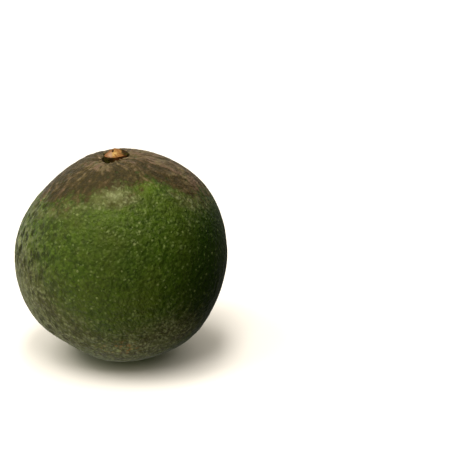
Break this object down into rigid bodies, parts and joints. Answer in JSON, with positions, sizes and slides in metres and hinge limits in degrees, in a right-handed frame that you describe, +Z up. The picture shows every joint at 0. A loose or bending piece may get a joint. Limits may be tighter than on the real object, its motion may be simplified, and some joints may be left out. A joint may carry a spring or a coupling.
{
  "type": "avocado",
  "caption": "Round green-skinned avocado, whole, standing on a small flat spot, with the dried stub of its stalk in the dimple at the top.",
  "frame": {"origin": "on the flat spot that the fruit rests on, right under the middle of the fruit", "axes": "+Z up from the surface it stands on towards the stem end, -Y the side that faces the viewer, the growth axis leans 3 degrees towards -X"},
  "size_m": [0.0945, 0.0949, 0.0939],
  "materials": {
    "skin": "thick pebbled avocado skin, dark green with pale specks and a purple-brown crown, low waxy sheen",
    "stalk": "dried stalk stub, tan cut face with brown bark round it, matt"
  },
  "bodies": {
    "root": {"fruit": "skin", "stem_button": "stalk"}
  },
  "joints": []
}
